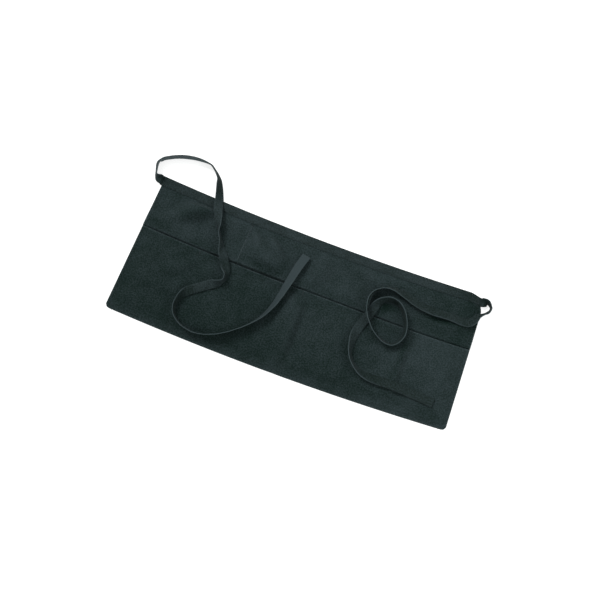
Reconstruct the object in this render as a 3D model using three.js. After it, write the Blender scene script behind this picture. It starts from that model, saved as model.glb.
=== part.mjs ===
// Waist apron lying face up on a flat surface: a hemmed panel, a pocket panel sewn over its lower part,
// a tape waistband folded over its top edge, and two flat tape ties thrown over it.
// Millimetres. The surface is Z = 0, the width runs along X, and the waistband is towards +Y.
import * as THREE from 'three';

const { degToRad, smoothstep, clamp, lerp } = THREE.MathUtils;

// Driving dimensions of the cut cloth
const WIDTH = 610;
const HEIGHT = 248;
const CLOTH = 1.2;
const HEM = 9;
const HEM_STEP = 2;
const POCKET_HEIGHT = 154;
const POCKET_INSET = 1;
const MOUTH_HEM = 12;
const BAND = 16;
const BAND_WALL = 1;
const BAND_OVERHANG = 4;
const TAPE_WIDTH = 16;
const TAPE_THICK = 1.2;
const GAP = 0.3;

// How the cloth lies: bowed in its own plane, a little taller at the left, its waist a little spread
const BOW = degToRad(7);
const TALLER_LEFT = 0.02;
const WAIST_SPREAD = 0.007;
const CORNER_ROUND = 7;
const WAIST_TUCK = 8;
const TUCK_DEPTH = 34;
const WAIST_DIP = 5;
const DIP_START = 283;
const END_PULL = 3;
const MOUTH_FALL = 6;
const BAND_RAMP = 10;

// Where the pocket panel is sewn down, and how the cloth stands off between those seams
const SEAM_HALF = 3;
const BELLY_FADE = 26;
const BELLY_FLATNESS = 8;
const BELLY_ROWS = 4;
const GAPE_DEPTH = 100;
const GAPE_FLATNESS = 4;
const GAPE_FALL = 1.5;
const POCKETS = [
  { from: -WIDTH / 2 + HEM, to: -192, gape: 3.6, belly: 1.8 },
  { from: -192, to: 2, gape: 7.6, belly: 2.2 },
  { from: 2, to: 192, gape: 4.2, belly: 2.0 },
  { from: 192, to: WIDTH / 2 - HEM, gape: 3.4, belly: 1.8 },
];

// Soft folds in the panel above the pockets: crest, half length, half widths above and below the crest,
// height, and turn from X in degrees
const FOLDS = [
  { s: -228, t: 89, along: 62, above: 26, below: 24, height: 14, turn: 34 },
  { s: -82, t: 62, along: 54, above: 40, below: 27, height: 14, turn: -14 },
  { s: 16, t: 70, along: 36, above: 24, below: 24, height: 8, turn: 82 },
  { s: 262, t: 56, along: 34, above: 20, below: 18, height: 6, turn: 8 },
];

// Routes of the ties: middle of the tape in plan, its lean from flat in degrees, and extra height
const LEFT_ROUTE = [
  { x: -313, y: 124, lean: 114, lift: 0.8 },
  { x: -316.5, y: 132, lean: 107, lift: 0 },
  { x: -319.5, y: 148, lean: 117, lift: 0 },
  { x: -316, y: 154.5, lean: 127, lift: 0 },
  { x: -309, y: 161, lean: 130, lift: 0 },
  { x: -287, y: 172, lean: 131, lift: 0 },
  { x: -261, y: 178, lean: 127, lift: 0 },
  { x: -236, y: 178, lean: 113, lift: 0 },
  { x: -225, y: 174, lean: 104, lift: 0 },
  { x: -209.5, y: 160, lean: 111, lift: 0 },
  { x: -204, y: 149, lean: 128, lift: 0 },
  { x: -195, y: 125, lean: 154, lift: 0 },
  { x: -191, y: 110, lean: 176, lift: 0 },
  { x: -184, y: 92, lean: 208, lift: 0 },
  { x: -177, y: 78, lean: 243, lift: 0 },
  { x: -171, y: 66, lean: 278, lift: 0 },
  { x: -164, y: 54, lean: 285, lift: 0 },
  { x: -156, y: 40, lean: 314, lift: 0 },
  { x: -146, y: 23, lean: 352, lift: 0 },
  { x: -137, y: 9, lean: 332, lift: 0 },
  { x: -132, y: -2, lean: 294, lift: 0 },
  { x: -134, y: -13, lean: 280, lift: 0 },
  { x: -143, y: -21, lean: 312, lift: 0 },
  { x: -155, y: -27, lean: 346, lift: 0 },
  { x: -182, y: -47, lean: 344, lift: 0 },
  { x: -191, y: -59, lean: 314, lift: 0 },
  { x: -196, y: -72, lean: 290, lift: 0 },
  { x: -196, y: -85, lean: 282, lift: 0 },
  { x: -189, y: -98, lean: 280, lift: 0 },
  { x: -174, y: -109, lean: 280, lift: 0 },
  { x: -154, y: -113.5, lean: 280, lift: 0 },
  { x: -131, y: -111, lean: 280, lift: 0 },
  { x: -107, y: -101.5, lean: 280, lift: 0 },
  { x: -85, y: -86.5, lean: 281, lift: 0 },
  { x: -65, y: -68, lean: 284, lift: 0 },
  { x: -50, y: -49, lean: 290, lift: 0 },
  { x: -40, y: -28, lean: 301, lift: 0 },
  { x: -33, y: -4, lean: 313, lift: 0.4 },
  { x: -21.5, y: 56, lean: 343, lift: 0 },
  { x: -15.5, y: 82.5, lean: 350, lift: 0 },
];
const RIGHT_ROUTE = [
  { x: 305, y: 114.5, lean: 66, lift: 0.8 },
  { x: 311.5, y: 111, lean: 86, lift: 0 },
  { x: 314, y: 105, lean: 82, lift: 0 },
  { x: 311, y: 97.5, lean: 71, lift: 0 },
  { x: 304.5, y: 92, lean: 70, lift: 0 },
  { x: 297.5, y: 85.5, lean: 48, lift: 0 },
  { x: 293.5, y: 77, lean: 32, lift: 0 },
  { x: 286.5, y: 70, lean: 20, lift: 0 },
  { x: 274, y: 67, lean: 22, lift: 2 },
  { x: 252, y: 67.5, lean: 26, lift: 3.5 },
  { x: 221, y: 66, lean: 26, lift: 3.5 },
  { x: 193, y: 69.5, lean: 26, lift: 3.5 },
  { x: 168, y: 76.5, lean: 34, lift: 2 },
  { x: 149, y: 79, lean: 60, lift: 0 },
  { x: 131, y: 76, lean: 74, lift: 0 },
  { x: 118, y: 66, lean: 84, lift: 0 },
  { x: 112, y: 50, lean: 96, lift: 2.8 },
  { x: 114, y: 31, lean: 95, lift: 4.6 },
  { x: 123, y: 13, lean: 94, lift: 4 },
  { x: 138, y: -3, lean: 98, lift: 1.6 },
  { x: 156, y: -13, lean: 107, lift: 0 },
  { x: 173, y: -15, lean: 111, lift: 0 },
  { x: 184, y: -6, lean: 112, lift: 0 },
  { x: 189, y: 9, lean: 110, lift: 0 },
  { x: 186, y: 27, lean: 108, lift: 0 },
  { x: 177, y: 45, lean: 106, lift: 0 },
  { x: 164, y: 57, lean: 105, lift: 0 },
  { x: 149, y: 60, lean: 106, lift: 0 },
  { x: 136, y: 54, lean: 116, lift: 0 },
  { x: 128, y: 43, lean: 144, lift: 0.3 },
  { x: 123, y: 29, lean: 176, lift: 0.3 },
  { x: 118, y: 12, lean: 180, lift: 0.3 },
  { x: 113, y: -4, lean: 172, lift: 0 },
  { x: 110, y: -21, lean: 148, lift: 0 },
  { x: 111, y: -39, lean: 122, lift: 0 },
  { x: 116, y: -56, lean: 112, lift: 0 },
  { x: 128, y: -70, lean: 118, lift: 0 },
  { x: 146, y: -79, lean: 138, lift: 0 },
  { x: 166, y: -81, lean: 160, lift: 0 },
  { x: 190, y: -80, lean: 174, lift: 0.6 },
  { x: 217, y: -80, lean: 176, lift: 1 },
  { x: 246, y: -81, lean: 176, lift: 1 },
  { x: 275, y: -83, lean: 178, lift: 1 },
];
const RINGS_PER_SPAN = 3;
const SAMPLES_PER_RING = 3;
const DRAPE_SAMPLES = 9;
const ACROSS_TAPE = [-1, -0.5, 0, 0.5, 1];
const LEFT_START_LEAN = 180;
const RIGHT_START_LEAN = 0;

// Facet sizes
const WIDE_FACET = 13;
const FOLD_FACET = 8;
const FLAT_FACET = 32;
const BAND_FACET = 21;

// Places on the flat cloth, measured from its middle
const HALF_WIDTH = WIDTH / 2;
const TOP = HEIGHT / 2;
const BOTTOM = -HEIGHT / 2;
const BAND_FOOT = TOP - BAND;
const BAND_LIFT = BAND_WALL + GAP;
const BAND_TOP = BAND_LIFT + CLOTH + GAP + BAND_WALL;
const BAND_END = HALF_WIDTH + BAND_OVERHANG;
const FOLD_ROOM = 0.4;
const INVERSE_PASSES = 4;
const RADIUS = WIDTH / BOW;

// Mapping between the flat cloth (s along the width, t towards the waist) and the lying apron's plan.
// The bottom corners are rounded, and the waist's right end is tucked in and dips.
function pulledIn(s, t) {
  const q = clamp((BOTTOM + CORNER_ROUND - t) / CORNER_ROUND, 0, 1);
  const corner = CORNER_ROUND * (1 - Math.sqrt(1 - q * q));
  const tuck = s > 0 ? WAIST_TUCK * smoothstep(t, TOP - TUCK_DEPTH, TOP) : 0;
  return (corner + tuck) * (s / HALF_WIDTH) ** END_PULL;
}

function dipped(s, t) {
  return WAIST_DIP * smoothstep(s, DIP_START, BAND_END) * smoothstep(t, TOP - TUCK_DEPTH, TOP);
}

function bowed(s, t) {
  const across = s * (1 + (WAIST_SPREAD * t) / TOP) - pulledIn(s, t);
  const up = (t - dipped(s, t)) * (1 - (TALLER_LEFT * across) / HALF_WIDTH);
  const angle = across / RADIUS;
  return [(RADIUS - up) * Math.sin(angle), RADIUS - (RADIUS - up) * Math.cos(angle)];
}

// The origin is the middle of the apron's box, so the bowed plan is moved down by half its unevenness
const HIGHEST = bowed(-BAND_END, TOP + FOLD_ROOM + BAND_WALL)[1];
const LOWEST = bowed(0, BOTTOM)[1];
const RAISED = (HIGHEST + LOWEST) / 2;
const SIDEWAYS = (bowed(-HALF_WIDTH, BOTTOM)[0] + bowed(HALF_WIDTH, BOTTOM)[0]) / 2;

function laid(s, t) {
  const [x, y] = bowed(s, t);
  return [x - SIDEWAYS, y - RAISED];
}

function flattened(x, y) {
  const east = x + SIDEWAYS;
  const north = RADIUS - (y + RAISED);
  const across = Math.atan2(east, north) * RADIUS;
  const up = RADIUS - Math.hypot(east, north);
  const undipped = up / (1 - (TALLER_LEFT * across) / HALF_WIDTH);
  let s = across;
  let t = undipped;
  for (let pass = 0; pass < INVERSE_PASSES; pass += 1) {
    s = (across + pulledIn(s, t)) / (1 + (WAIST_SPREAD * t) / TOP);
    t = undipped + dipped(s, t);
  }
  return [s, t];
}

// Heights of the panel: soft folds, a lift onto the back of the waistband, and doubled cloth at the hems
function foldHeight(fold, s, t) {
  const turn = degToRad(fold.turn);
  const ds = s - fold.s;
  const dt = t - fold.t;
  const along = (ds * Math.cos(turn) + dt * Math.sin(turn)) / fold.along;
  const aside = dt * Math.cos(turn) - ds * Math.sin(turn);
  const across = aside / (aside > 0 ? fold.above : fold.below);
  const inside = Math.max(0, 1 - along * along - across * across);
  return fold.height * inside * inside;
}

function panelUnder(s, t) {
  const folds = FOLDS.reduce((sum, fold) => sum + foldHeight(fold, s, t), 0);
  return lerp(folds, BAND_LIFT, smoothstep(t, BAND_FOOT - BAND_RAMP, BAND_FOOT));
}

function hemShare(s, t) {
  const side = 1 - smoothstep(HALF_WIDTH - Math.abs(s), HEM, HEM + HEM_STEP);
  const belowBand = 1 - smoothstep(t, BAND_FOOT - BAND_RAMP, BAND_FOOT - HEM_STEP);
  const bottom = 1 - smoothstep(t - BOTTOM, HEM, HEM + HEM_STEP);
  return Math.max(side * belowBand, bottom);
}

function panelTop(s, t) {
  return panelUnder(s, t) + CLOTH * (1 + hemShare(s, t));
}

// Heights of the pocket panel: sewn down at its sides, its bottom and its seams, open at its mouth
function mouthLine(s) {
  return BOTTOM + POCKET_HEIGHT - MOUTH_FALL * smoothstep(s, 0, HALF_WIDTH);
}

function pocketStandOff(s, t) {
  const pocket = POCKETS.find((row) => s > row.from && s < row.to);
  if (!pocket) return 0;
  const middle = (pocket.from + pocket.to) / 2;
  const half = (pocket.to - pocket.from) / 2 - SEAM_HALF;
  const q = clamp(Math.abs(s - middle) / half, 0, 1);
  const depth = clamp((mouthLine(s) - t) / GAPE_DEPTH, 0, 1);
  const gape = pocket.gape * (1 - q ** GAPE_FLATNESS) * (1 - depth) ** GAPE_FALL;
  const fade = smoothstep(t - BOTTOM, HEM, HEM + BELLY_FADE);
  return gape + pocket.belly * (1 - q ** BELLY_FLATNESS) * fade;
}

function pocketUnder(s, t) {
  return panelTop(s, t) + GAP + pocketStandOff(s, t);
}

function pocketTop(s, t) {
  const hem = smoothstep(t, mouthLine(s) - MOUTH_HEM - HEM_STEP, mouthLine(s) - MOUTH_HEM);
  return pocketUnder(s, t) + CLOTH * (1 + hem);
}

// The surface that a tie lies on at a place in plan
function surfaceUnder(x, y) {
  const [s, t] = flattened(x, y);
  const past = TOP + FOLD_ROOM + BAND_WALL;
  if (Math.abs(s) <= BAND_END && t >= BAND_FOOT && t <= past) return BAND_TOP;
  if (Math.abs(s) > HALF_WIDTH || t < BOTTOM || t > TOP) return 0;
  return t <= mouthLine(s) ? pocketTop(s, t) : panelTop(s, t);
}

// Grid lines: the marks, with even steps of about the given size between each two
function gridLines(marks, facet) {
  const lines = [marks[0]];
  for (let k = 1; k < marks.length; k += 1) {
    const steps = Math.max(1, Math.round((marks[k] - marks[k - 1]) / facet));
    for (let step = 1; step <= steps; step += 1) {
      lines.push(lerp(marks[k - 1], marks[k], step / steps));
    }
  }
  return lines;
}

function facetedGeometry(positions, index) {
  const geometry = new THREE.BufferGeometry();
  geometry.setAttribute('position', new THREE.Float32BufferAttribute(positions, 3));
  geometry.setIndex(index);
  geometry.computeVertexNormals();
  return geometry;
}

// A closed solid from rings of points that follow each other, with flat caps at both ends. The facets of
// opposite sides are split the same way, so that a thin strip that twists doesn't cut into itself.
function ringSolid(rings, cap) {
  const size = rings[0].length;
  const positions = rings.flat().flatMap((p) => [p.x, p.y, p.z]);
  const index = [];
  for (let ring = 0; ring < rings.length - 1; ring += 1) {
    for (let k = 0; k < size; k += 1) {
      const a = ring * size + k;
      const b = ring * size + ((k + 1) % size);
      if (k < size / 2) index.push(a, b, b + size, a, b + size, a + size);
      else index.push(a, b, a + size, b, b + size, a + size);
    }
  }
  const last = (rings.length - 1) * size;
  for (const [a, b, c] of cap) {
    index.push(a, c, b, last + a, last + b, last + c);
  }
  return facetedGeometry(positions, index);
}

// A closed cloth wall over a grid: an underside and a top of the same facets, joined round the rim
function clothSolid(columns, rowsAt, under, top) {
  const rowCount = rowsAt(columns[0]).length;
  const sheetSize = columns.length * rowCount;
  const at = (column, row, sheet) => sheet * sheetSize + column * rowCount + row;
  const positions = [under, top].flatMap((height) => columns.flatMap((s) =>
    rowsAt(s).flatMap((t) => [...laid(s, t), height(s, t)])));
  const index = [];
  const lastColumn = columns.length - 1;
  const lastRow = rowCount - 1;
  for (let c = 0; c < lastColumn; c += 1) {
    for (let r = 0; r < lastRow; r += 1) {
      const [a, b, d, e] = [at(c, r, 1), at(c + 1, r, 1), at(c + 1, r + 1, 1), at(c, r + 1, 1)];
      index.push(a, b, d, a, d, e);
      const [f, g, h, i] = [a, b, d, e].map((corner) => corner - sheetSize);
      index.push(f, h, g, f, i, h);
    }
  }
  const wall = (c0, r0, c1, r1) => {
    const [a, b, d, e] = [at(c0, r0, 0), at(c1, r1, 0), at(c1, r1, 1), at(c0, r0, 1)];
    index.push(a, b, d, a, d, e);
  };
  for (let c = 0; c < lastColumn; c += 1) {
    wall(c, 0, c + 1, 0);
    wall(c + 1, lastRow, c, lastRow);
  }
  for (let r = 0; r < lastRow; r += 1) {
    wall(lastColumn, r, lastColumn, r + 1);
    wall(0, r + 1, 0, r);
  }
  return facetedGeometry(positions, index);
}

function panelGeometry() {
  const hemMark = HALF_WIDTH - HEM;
  const marks = [-HALF_WIDTH, -hemMark, -hemMark + HEM_STEP, hemMark - HEM_STEP, hemMark, HALF_WIDTH];
  const hemTop = BOTTOM + HEM;
  const lowMarks = [BOTTOM, BOTTOM + HEM_STEP, hemTop, hemTop + HEM_STEP, mouthLine(0)];
  const highMarks = [mouthLine(0), BAND_FOOT - BAND_RAMP, BAND_FOOT - HEM_STEP, BAND_FOOT, TOP];
  const lowRows = gridLines(lowMarks, FLAT_FACET);
  const highRows = gridLines(highMarks, FOLD_FACET);
  const rows = [...lowRows, ...highRows.slice(1)];
  return clothSolid(gridLines(marks, WIDE_FACET), () => rows, panelUnder, panelTop);
}

function pocketGeometry() {
  const side = HALF_WIDTH - POCKET_INSET;
  const hemMark = HALF_WIDTH - HEM;
  const seams = POCKETS.slice(1).flatMap((row) => [row.from - SEAM_HALF, row.from, row.from + SEAM_HALF]);
  const leftMarks = [-side, -hemMark, -hemMark + HEM_STEP];
  const columns = gridLines([...leftMarks, ...seams, hemMark - HEM_STEP, hemMark, side], WIDE_FACET);
  const foot = BOTTOM + POCKET_INSET;
  const rowsAt = (s) => {
    const mouth = mouthLine(s);
    const hemFoot = mouth - MOUTH_HEM;
    const hemTop = BOTTOM + HEM;
    const low = [foot, BOTTOM + HEM_STEP, hemTop, hemTop + HEM_STEP, hemTop + BELLY_FADE];
    const belly = Array.from({ length: BELLY_ROWS - 1 }, (_, k) =>
      lerp(hemTop + BELLY_FADE, hemFoot, (k + 1) / BELLY_ROWS));
    return [...low, ...belly, hemFoot - HEM_STEP, hemFoot, mouth - MOUTH_HEM / 2, mouth];
  };
  return clothSolid(columns, rowsAt, pocketUnder, pocketTop);
}

// The waistband: one strip of tape folded over the panel's top edge, the same on the front and the back
function waistbandGeometry() {
  const room = TOP + FOLD_ROOM;
  const outside = room + BAND_WALL;
  const corner = BAND_WALL;
  const frontFoot = BAND_TOP - BAND_WALL;
  const section = [
    new THREE.Vector2(BAND_FOOT, 0),
    new THREE.Vector2(outside - corner, 0),
    new THREE.Vector2(outside, corner),
    new THREE.Vector2(outside, BAND_TOP - corner),
    new THREE.Vector2(outside - corner, BAND_TOP),
    new THREE.Vector2(BAND_FOOT, BAND_TOP),
    new THREE.Vector2(BAND_FOOT, frontFoot),
    new THREE.Vector2(room, frontFoot),
    new THREE.Vector2(room, BAND_WALL),
    new THREE.Vector2(BAND_FOOT, BAND_WALL),
  ];
  const rings = gridLines([-BAND_END, BAND_END], BAND_FACET).map((s) =>
    section.map(({ x: t, y: z }) => new THREE.Vector3(...laid(s, t), z)));
  return ringSolid(rings, THREE.ShapeUtils.triangulateShape(section, []));
}

// A tie: flat tape along a smooth curve through its route, resting on what is under it
function routeSamples(route) {
  const places = new THREE.CatmullRomCurve3(
    route.map((row) => new THREE.Vector3(row.x, row.y, row.lean)), false, 'catmullrom');
  const lifts = new THREE.SplineCurve(route.map((row, k) => new THREE.Vector2(k, row.lift)));
  const count = (route.length - 1) * RINGS_PER_SPAN * SAMPLES_PER_RING;
  return Array.from({ length: count + 1 }, (_, k) => {
    const { x, y, z } = places.getPoint(k / count);
    return { x, y, lean: degToRad(z), lift: Math.max(0, lifts.getPoint(k / count).y) };
  });
}

function planHeading(samples, k) {
  const before = samples[Math.max(0, k - 1)];
  const after = samples[Math.min(samples.length - 1, k + 1)];
  return Math.atan2(after.y - before.y, after.x - before.x);
}

// Height of the tape's middle that keeps its whole width clear of the surface
function clearHeight(sample, heading) {
  const flat = Math.cos(sample.lean) * (TAPE_WIDTH / 2);
  const upright = Math.sin(sample.lean) * (TAPE_WIDTH / 2);
  const skin = (TAPE_THICK / 2) * Math.abs(Math.cos(sample.lean));
  const needs = ACROSS_TAPE.map((share) => {
    const x = sample.x - Math.sin(heading) * flat * share;
    const y = sample.y + Math.cos(heading) * flat * share;
    return surfaceUnder(x, y) - upright * share;
  });
  return Math.max(...needs) + skin + GAP;
}

// The tape bridges small steps: the highest need nearby, evened out over the same stretch
function drapedHeights(samples) {
  const needs = samples.map((sample, k) => clearHeight(sample, planHeading(samples, k)));
  const nearby = (values, k) => values.slice(Math.max(0, k - DRAPE_SAMPLES), k + DRAPE_SAMPLES + 1);
  const highest = needs.map((_, k) => Math.max(...nearby(needs, k)));
  const even = (values) => values.reduce((sum, value) => sum + value, 0) / values.length;
  return samples.map((sample, k) => even(nearby(highest, k)) + sample.lift);
}

function tapeGeometry(route) {
  const samples = routeSamples(route);
  const heights = drapedHeights(samples);
  const middle = samples.map(({ x, y }, k) => new THREE.Vector3(x, y, heights[k]));
  const up = new THREE.Vector3(0, 0, 1);
  const rings = samples.flatMap(({ lean }, k) => {
    if (k % SAMPLES_PER_RING) return [];
    const before = middle[Math.max(0, k - 1)];
    const after = middle[Math.min(middle.length - 1, k + 1)];
    const along = after.clone().sub(before).normalize();
    const side = up.clone().cross(along).normalize();
    const rise = along.clone().cross(side);
    const width = side.multiplyScalar(Math.cos(lean)).addScaledVector(rise, Math.sin(lean));
    const thick = along.clone().cross(width);
    const corner = (w, h) => middle[k].clone()
      .addScaledVector(width, (w * TAPE_WIDTH) / 2)
      .addScaledVector(thick, (h * TAPE_THICK) / 2);
    return [[corner(-1, -1), corner(1, -1), corner(1, 1), corner(-1, 1)]];
  });
  return ringSolid(rings, [[0, 1, 2], [0, 2, 3]]);
}

function tieFrom(side, lean, route) {
  const [x, y] = laid(side * (BAND_END + GAP), TOP - BAND / 2);
  return tapeGeometry([{ x, y, lean, lift: BAND_TOP / 2 - TAPE_THICK / 2 - GAP }, ...route]);
}

// Finishes
const TWILL = { color: 0x2b3637, roughness: 0.92, metalness: 0 };
const TAPE = { color: 0x333d40, roughness: 0.88, metalness: 0 };

function piece(name, geometry, finish) {
  const mesh = new THREE.Mesh(geometry, new THREE.MeshStandardMaterial(finish));
  mesh.name = name;
  return mesh;
}

const apron = new THREE.Group();
apron.add(piece('apron_panel', panelGeometry(), TWILL));
apron.add(piece('pocket_panel', pocketGeometry(), TWILL));
apron.add(piece('waistband', waistbandGeometry(), TAPE));
apron.add(piece('tie_left', tieFrom(-1, LEFT_START_LEAN, LEFT_ROUTE), TAPE));
apron.add(piece('tie_right', tieFrom(1, RIGHT_START_LEAN, RIGHT_ROUTE), TAPE));

export default apron;
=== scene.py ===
# %% [markdown]
# # A waist apron, laid out on a table
# The real thing is a short work apron: one hemmed panel of dark twill, a pocket panel sewn over its lower
# part, a narrow tape folded over the waist edge, and two tape ties thrown loosely over the front. The packed
# model holds each of them as a plain solid. This lesson dresses it: every solid gets a fine cloth surface in
# the same place, with its hems, seams, stitches and weave.

# %% Load the frame
import math
from collections import namedtuple

import bpy
import numpy as np
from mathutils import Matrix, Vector, noise


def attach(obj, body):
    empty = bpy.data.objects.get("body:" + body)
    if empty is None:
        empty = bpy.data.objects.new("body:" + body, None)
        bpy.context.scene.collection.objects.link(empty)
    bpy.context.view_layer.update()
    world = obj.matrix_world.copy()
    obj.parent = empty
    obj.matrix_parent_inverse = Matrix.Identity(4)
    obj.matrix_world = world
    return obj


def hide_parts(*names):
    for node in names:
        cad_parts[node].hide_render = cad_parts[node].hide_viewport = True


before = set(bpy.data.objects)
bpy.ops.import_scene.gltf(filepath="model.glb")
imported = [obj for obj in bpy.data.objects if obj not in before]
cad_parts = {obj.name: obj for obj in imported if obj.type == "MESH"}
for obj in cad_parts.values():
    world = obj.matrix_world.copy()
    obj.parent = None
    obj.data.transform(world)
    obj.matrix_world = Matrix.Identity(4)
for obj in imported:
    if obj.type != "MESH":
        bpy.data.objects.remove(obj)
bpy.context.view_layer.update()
print("solids in the frame:", sorted(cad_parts))

# %% [markdown]
# ## Camera
# The picture looks down on the apron from almost straight above, with the waist edge sloping down to the
# right. A camera could be aimed with a constraint. Here it sits on a sphere round the spot that it looks at,
# because azimuth, elevation and distance are the words that a photographer would use.

# %% Camera
AZIMUTH = math.radians(20.75)
ELEVATION = math.radians(78)
DISTANCE = 2.2
LOOK_AT = Vector((0.0010, 0.0063, 0))
SEEN_WIDTH = 1.0365
SENSOR_MM = 36

camera_back = Vector((
    math.sin(AZIMUTH) * math.cos(ELEVATION),
    -math.cos(AZIMUTH) * math.cos(ELEVATION),
    math.sin(ELEVATION),
))
bpy.ops.object.select_all(action="DESELECT")
bpy.ops.object.camera_add(
    location=LOOK_AT + camera_back * DISTANCE,
    rotation=camera_back.to_track_quat("Z", "Y").to_euler(),
)
camera = bpy.context.object
camera.name = "picture_camera"
camera.data.sensor_width = SENSOR_MM
camera.data.lens = SENSOR_MM * DISTANCE / SEEN_WIDTH
bpy.context.scene.camera = camera
print("lens, mm:", round(camera.data.lens, 1))

# %% [markdown]
# ## The cloth as cut, and as it lies
# Every place on the apron is named by two lengths on the flat cloth: s along its width and t towards its
# waist, both from the middle. On the table the cloth is bowed a little in its own plane, its left side is a
# little taller, and the waist's right end is tucked in. Drawing the outline by hand would lose track of the
# seams, so one function turns (s, t) into a place on the table, and another turns it back.

# %% Sizes of the cut cloth, in metres
WIDTH = 0.610
HEIGHT = 0.248
CLOTH = 0.0010
HEM = 0.009
HEM_STEP = 0.002
HEM_SLOPE = 0.010
POCKET_HEIGHT = 0.154
POCKET_INSET = 0.001
MOUTH_HEM = 0.012
BAND = 0.016
BAND_WALL = 0.0005
BAND_OVERHANG = 0.004
TAPE_WIDTH = 0.016
TAPE_THICK = 0.0012
GAP = 0.0003

BOW = math.radians(7)
TALLER_LEFT = 0.02
WAIST_SPREAD = 0.007
CORNER_ROUND = 0.007
WAIST_TUCK = 0.008
TUCK_DEPTH = 0.034
WAIST_DIP = 0.005
DIP_START = 0.283
END_PULL = 3
MOUTH_FALL = 0.006
BAND_RAMP = 0.010
FOLD_ROOM = 0.0004
INVERSE_PASSES = 4

HALF_WIDTH = WIDTH / 2
TOP = HEIGHT / 2
BOTTOM = -HEIGHT / 2
BAND_FOOT = TOP - BAND
BAND_LIFT = BAND_WALL + GAP
BAND_TOP = BAND_LIFT + CLOTH + GAP + BAND_WALL
BAND_END = HALF_WIDTH + BAND_OVERHANG
RADIUS = WIDTH / BOW
print("radius of the bow, m:", round(RADIUS, 2))


# %% From the flat cloth to the table, and back
def smooth(value, low, high):
    share = np.clip((value - low) / (high - low), 0, 1)
    return share * share * (3 - 2 * share)


def lerp(a, b, share):
    return a + (b - a) * share


def table(kind, *rows):
    """Rows of numbers as a table with the named columns of its kind."""
    return tuple(kind(*row) for row in rows)


def pulled_in(s, t):
    q = np.clip((BOTTOM + CORNER_ROUND - t) / CORNER_ROUND, 0, 1)
    corner = CORNER_ROUND * (1 - np.sqrt(1 - q * q))
    tuck = np.where(s > 0, WAIST_TUCK * smooth(t, TOP - TUCK_DEPTH, TOP), 0)
    return (corner + tuck) * (s / HALF_WIDTH) ** END_PULL


def dipped(s, t):
    return WAIST_DIP * smooth(s, DIP_START, BAND_END) * smooth(t, TOP - TUCK_DEPTH, TOP)


def bowed(s, t):
    across = s * (1 + WAIST_SPREAD * t / TOP) - pulled_in(s, t)
    up = (t - dipped(s, t)) * (1 - TALLER_LEFT * across / HALF_WIDTH)
    angle = across / RADIUS
    return (RADIUS - up) * np.sin(angle), RADIUS - (RADIUS - up) * np.cos(angle)


HIGHEST = bowed(-BAND_END, TOP + FOLD_ROOM + BAND_WALL)[1]
LOWEST = bowed(0.0, BOTTOM)[1]
RAISED = (HIGHEST + LOWEST) / 2
SIDEWAYS = (bowed(-HALF_WIDTH, BOTTOM)[0] + bowed(HALF_WIDTH, BOTTOM)[0]) / 2


def laid(s, t):
    x, y = bowed(np.asarray(s, float), np.asarray(t, float))
    return x - SIDEWAYS, y - RAISED


def flattened(x, y):
    east = x + SIDEWAYS
    north = RADIUS - (y + RAISED)
    across = np.arctan2(east, north) * RADIUS
    up = RADIUS - np.hypot(east, north)
    undipped = up / (1 - TALLER_LEFT * across / HALF_WIDTH)
    s = across
    t = undipped
    for _ in range(INVERSE_PASSES):
        s = (across + pulled_in(s, t)) / (1 + WAIST_SPREAD * t / TOP)
        t = undipped + dipped(s, t)
    return s, t


print("there and back, m:", [round(float(v), 5) for v in flattened(*laid(0.2, 0.1))])

# %% [markdown]
# ## How high the cloth stands
# Cloth on a table is never flat. Broad folds lie above the pockets, the panel rolls over the pocket mouth,
# hems are doubled and so a little higher, seams pull the cloth into a shallow groove, and it puckers beside
# them. A cloth simulation could find such shapes, but not these ones in these places, so each is a row in a
# short table or a soft noise, and one function adds them up for any (s, t).

# %% Soft noise, seams and puckers
RIPPLE_SIZE = 0.052
RIPPLE_HEIGHT = 0.0050
CRUMPLE_SIZE = 0.021
CRUMPLE_HEIGHT = 0.0006
PUCKER_SIZE = 0.0075
PUCKER_HEIGHT = 0.00022
PUCKER_REACH = 0.008
PUCKER_STRETCH = 0.3  # less than 1 draws the puckers out across the seam
GROOVE_DEPTH = 0.00018
GROOVE_HALF = 0.0011
RIM_FIRM = 0.004  # no ripples nearer to a side or the foot
RIM_LOOSE = 0.030  # full ripples from here inwards


def soft_noise(s, t, size, seed):
    s, t = np.broadcast_arrays(s, t)
    places = zip((s / size).ravel(), (t / size).ravel())
    values = [noise.noise((a, b, seed)) for a, b in places]
    return np.array(values).reshape(s.shape)


def lying_ripple(s, t, seed):
    broad = RIPPLE_HEIGHT * (0.5 + 0.5 * soft_noise(s, t, RIPPLE_SIZE, seed))
    return broad + CRUMPLE_HEIGHT * (0.5 + 0.5 * soft_noise(s, t, CRUMPLE_SIZE, seed + 1))


def off_rim(s, t):
    """How free the cloth is to ripple: 0 beside its sides and foot, and 1 further in."""
    sides = smooth(HALF_WIDTH - np.abs(s), RIM_FIRM, RIM_LOOSE)
    return sides * smooth(t - BOTTOM, RIM_FIRM, RIM_LOOSE)


def seam_pull(away, along, seed):
    """Height that a row of stitches takes from the cloth: a groove, with puckers on both sides of it."""
    groove = GROOVE_DEPTH * np.exp(-((away / GROOVE_HALF) ** 2))
    fade = np.exp(-((away / PUCKER_REACH) ** 2))
    return PUCKER_HEIGHT * fade * soft_noise(along, PUCKER_STRETCH * away, PUCKER_SIZE, seed) - groove


print("noise at one place:", round(float(soft_noise(0.1, 0.1, RIPPLE_SIZE, 3)), 4))

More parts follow.
